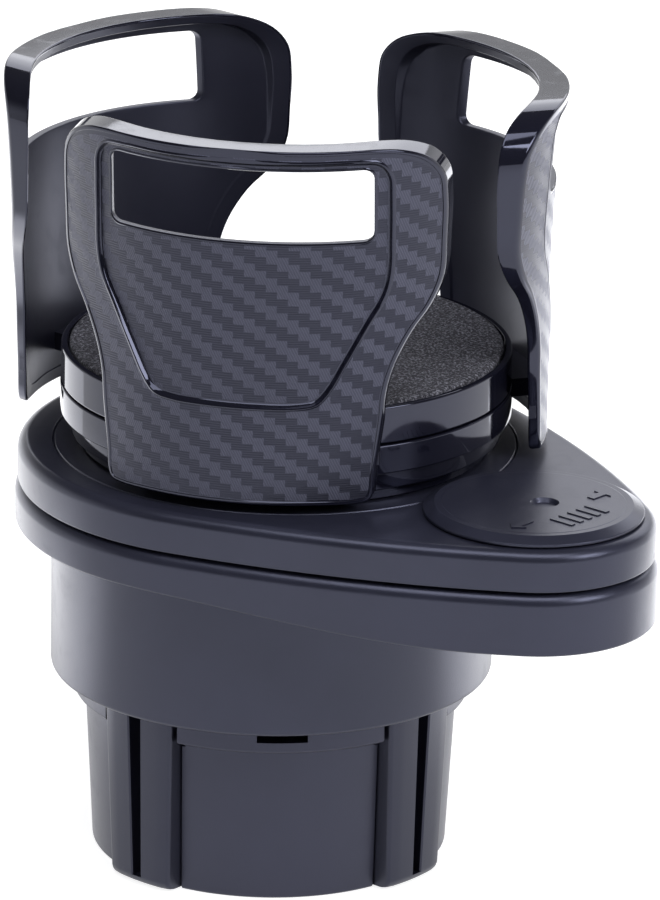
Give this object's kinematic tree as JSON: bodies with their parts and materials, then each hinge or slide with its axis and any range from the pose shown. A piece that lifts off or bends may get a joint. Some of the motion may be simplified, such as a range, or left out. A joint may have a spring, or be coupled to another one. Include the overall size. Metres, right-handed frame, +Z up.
{
  "type": "car cup holder",
  "caption": "Car cup holder with an expanding foot, a lower cup well and a swing-out plate carrying sliding grippers round a padded upper tray.",
  "frame": {"origin": "centre of the foot's underside, on the axis of the foot and the lower cup well", "axes": "+Z up, +X from the foot's axis toward the swing pivot, +Y completes the right-handed frame"},
  "size_m": [0.1423, 0.103, 0.153],
  "materials": {
    "satin_plastic": "satin",
    "gloss_plastic": "gloss",
    "textured_plastic": "moulded twill texture",
    "foam": "matt fine foam",
    "steel": "zinc plated"
  },
  "bodies": {
    "foot": {"foot_shell": "satin_plastic", "foot_bottom_cover": "satin_plastic", "leg_guide_plate": "satin_plastic", "cover_screw_1": "steel", "cover_screw_2": "steel", "cover_screw_3": "steel", "cover_screw_4": "steel", "guide_screw_1": "steel", "guide_screw_2": "steel", "guide_screw_3": "steel", "guide_screw_4": "steel"},
    "leg_east": {"leg_1": "satin_plastic"},
    "leg_north": {"leg_2": "satin_plastic"},
    "leg_west": {"leg_3": "satin_plastic"},
    "leg_south": {"leg_4": "satin_plastic"},
    "cup": {"cup_body": "satin_plastic", "cam_disc": "satin_plastic", "cam_screw_1": "steel", "cam_screw_2": "steel", "cam_screw_3": "steel", "cam_screw_4": "steel", "hub_washer": "satin_plastic", "hub_screw": "steel"},
    "swing": {"swing_plate": "satin_plastic", "pivot_cap": "satin_plastic", "pivot_washer": "steel", "pivot_screw": "steel", "base_ring": "gloss_plastic", "guide_ring": "gloss_plastic", "tray_disc": "gloss_plastic", "foam_pad": "foam", "stack_screw_1": "steel", "stack_screw_2": "steel", "stack_screw_3": "steel", "stack_bolt": "steel"},
    "gripper_front": {"gripper_1": "textured_plastic"},
    "gripper_right": {"gripper_2": "textured_plastic"},
    "gripper_far": {"gripper_3": "textured_plastic"}
  },
  "joints": [
    {"name": "cup_turn", "type": "hinge", "parent": "foot", "child": "cup", "pos_m": [0, 0, 0.036], "axis": [0, 0, 1], "range_deg": [-30.08, 50.13]},
    {"name": "leg_1_slide", "type": "slide", "parent": "foot", "child": "leg_east", "axis": [1, 0, 0], "range_m": [-0.003, 0.005]},
    {"name": "leg_2_slide", "type": "slide", "parent": "foot", "child": "leg_north", "axis": [0, 1, 0], "range_m": [-0.003, 0.005]},
    {"name": "leg_3_slide", "type": "slide", "parent": "foot", "child": "leg_west", "axis": [-1, 0, 0], "range_m": [-0.003, 0.005]},
    {"name": "leg_4_slide", "type": "slide", "parent": "foot", "child": "leg_south", "axis": [0, -1, 0], "range_m": [-0.003, 0.005]},
    {"name": "plate_swing", "type": "hinge", "parent": "cup", "child": "swing", "pos_m": [0.0647, 0, 0.074], "axis": [0, 0, 1], "range_deg": [-180, 180]},
    {"name": "gripper_1_slide", "type": "slide", "parent": "swing", "child": "gripper_front", "axis": [0.4787, -0.878, 0], "range_m": [0, 0.012]},
    {"name": "gripper_2_slide", "type": "slide", "parent": "swing", "child": "gripper_right", "axis": [0.521, 0.8536, 0], "range_m": [-0.0049, 0.0071]},
    {"name": "gripper_3_slide", "type": "slide", "parent": "swing", "child": "gripper_far", "axis": [-0.9997, 0.0244, 0], "range_m": [-0.0094, 0.0026]}
  ],
  "couplings": [
    {"joint": "leg_1_slide", "follows": "cup_turn", "m_per_rad": 0.0057143},
    {"joint": "leg_2_slide", "follows": "cup_turn", "m_per_rad": 0.0057143},
    {"joint": "leg_3_slide", "follows": "cup_turn", "m_per_rad": 0.0057143},
    {"joint": "leg_4_slide", "follows": "cup_turn", "m_per_rad": 0.0057143}
  ]
}
